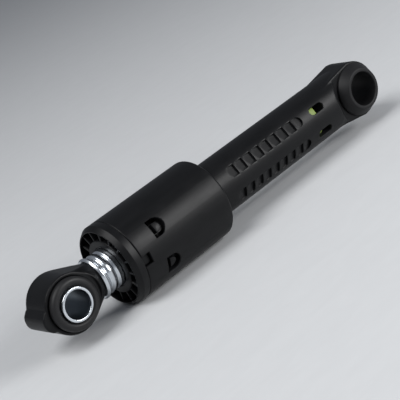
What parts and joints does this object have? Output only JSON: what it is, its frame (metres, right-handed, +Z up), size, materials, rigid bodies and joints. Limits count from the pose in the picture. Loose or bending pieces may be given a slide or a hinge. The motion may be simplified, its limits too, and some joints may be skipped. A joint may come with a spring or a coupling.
{
  "type": "washing machine shock absorber",
  "caption": "Friction damper for a washing machine tub: black moulded housing with an eye at one end, plated steel rod with a rubber-bushed eye at the other.",
  "frame": {"origin": "centre of the housing eye's bore, halfway along it", "axes": "+X along the damper from the housing eye to the rod eye, +Y along both bores, +Z up"},
  "size_m": [0.2113, 0.038, 0.038],
  "materials": {
    "black_plastic": "satin moulded",
    "black_bush": "satin moulded",
    "black_rubber": "moulded rubber",
    "zinc_steel": "bright zinc plate",
    "green_plastic": "moulded",
    "natural_plastic": "moulded",
    "grey_felt": "felt",
    "grey_foam": "greased foam"
  },
  "bodies": {
    "housing": {"housing": "black_plastic", "housing_bush": "black_bush", "end_cap": "black_plastic", "guide_ring": "natural_plastic", "wiper_ring": "grey_felt", "stop_pad": "black_rubber", "buffer_inner": "black_rubber", "buffer_outer": "black_rubber"},
    "carrier": {"carrier_upper": "black_plastic", "carrier_lower": "black_plastic", "lining_inner": "grey_foam", "lining_outer": "grey_foam"},
    "piston": {"guide_piston": "green_plastic"},
    "rod": {"rod_tube": "zinc_steel", "rod_eye": "black_plastic", "rod_bush": "black_rubber", "rod_sleeve": "zinc_steel"}
  },
  "joints": [
    {"name": "rod_slide", "type": "slide", "parent": "housing", "child": "piston", "axis": [1, 0, 0], "range_m": [-0.007, 0.06]},
    {"name": "rod_twist", "type": "hinge", "parent": "piston", "child": "rod", "pos_m": [0.05, 0, 0], "axis": [1, 0, 0], "continuous": true},
    {"name": "carrier_float", "type": "slide", "parent": "housing", "child": "carrier", "axis": [1, 0, 0], "range_m": [-0.004, 0.004]}
  ]
}
